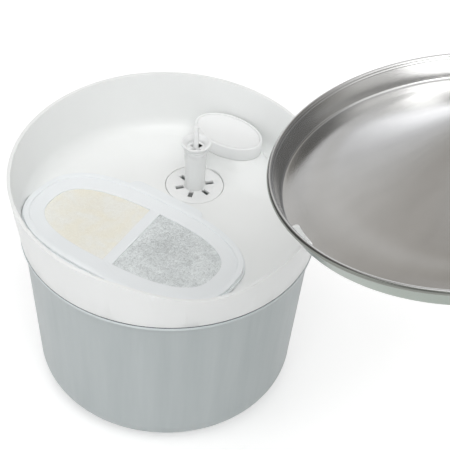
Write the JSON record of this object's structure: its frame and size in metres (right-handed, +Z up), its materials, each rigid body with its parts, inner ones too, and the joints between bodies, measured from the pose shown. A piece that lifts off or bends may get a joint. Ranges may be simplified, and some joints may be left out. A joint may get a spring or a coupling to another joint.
{
  "type": "pet water fountain",
  "caption": "Pet water fountain: frosted round reservoir, white collar tray with filter cassette, riser tube and submersible pump, steel drinking plate lifted off.",
  "frame": {"origin": "centre of the foot ring, on the surface that the fountain stands on", "axes": "+Z up, -Y towards the viewer's front, the cord leaves at the back right"},
  "size_m": [0.3331, 0.3529, 0.3224],
  "materials": {
    "frosted_tub": "frosted, lightly tinted",
    "white_shell": "satin moulded",
    "white_filter": "satin moulded",
    "steel_sheet": "fine brushed",
    "grey_rubber": "matt",
    "pale_rubber": "matt",
    "beige_fleece": "non-woven",
    "grey_fleece": "non-woven with carbon flecks",
    "resin_beads": "loose beads",
    "carbon_grains": "loose grains",
    "pump_black": "moulded",
    "pump_grey": "moulded",
    "core_steel": "laminated",
    "ferrite": "sintered",
    "ceramic_shaft": "ground",
    "sponge": "open-cell"
  },
  "bodies": {
    "base": {"reservoir": "frosted_tub", "foot_ring": "grey_rubber", "pump_housing": "pump_black", "stator_core": "core_steel", "chamber_cover": "pump_black", "impeller_shaft": "ceramic_shaft", "shaft_bushes": "grey_rubber", "suction_cups": "pale_rubber", "pump_gland": "grey_rubber"},
    "tray": {"collar_tray": "white_shell", "cord_gland": "pale_rubber"},
    "cap": {"boss_cap": "white_shell"},
    "cassette": {"cassette_tub": "white_filter", "cassette_grid": "white_filter", "cassette_cover": "white_filter", "resin_pad": "beige_fleece", "carbon_pad": "grey_fleece", "resin_bed": "resin_beads", "carbon_bed": "carbon_grains"},
    "riser": {"well_disc": "white_shell", "riser_tube": "white_shell", "outlet_cup": "white_shell"},
    "plate": {"drinking_plate": "steel_sheet", "plate_grommet": "pale_rubber"},
    "grille": {"inlet_grille": "pump_black", "inlet_sponge": "sponge"},
    "regulator": {"flow_regulator": "pump_grey"},
    "rotor": {"impeller": "pump_grey", "rotor_magnet": "ferrite"}
  },
  "joints": [
    {"name": "tray_lift", "type": "slide", "parent": "base", "child": "tray", "axis": [0, 0, 1], "range_m": [0, 0.06]},
    {"name": "cassette_lift", "type": "slide", "parent": "tray", "child": "cassette", "axis": [0, 0, 1], "range_m": [0, 0.04]},
    {"name": "riser_lift", "type": "slide", "parent": "tray", "child": "riser", "axis": [0, 0, 1], "range_m": [0, 0.04]},
    {"name": "cap_lift", "type": "slide", "parent": "tray", "child": "cap", "axis": [0, 0, 1], "range_m": [0, 0.025]},
    {"name": "plate_carry", "type": "slide", "parent": "tray", "child": "plate", "axis": [-0.6642, 0.7475, 0], "range_m": [0, 0.2174]},
    {"name": "grille_pull", "type": "slide", "parent": "base", "child": "grille", "axis": [0, 1, 0], "range_m": [0, 0.012]},
    {"name": "regulator_turn", "type": "hinge", "parent": "grille", "child": "regulator", "pos_m": [0.0143, 0.0527, 0.0267], "axis": [0, 1, 0], "range_deg": [0, 25]},
    {"name": "rotor_spin", "type": "hinge", "parent": "base", "child": "rotor", "pos_m": [0.0143, 0.0388, 0.0267], "axis": [0, 1, 0], "continuous": true}
  ]
}
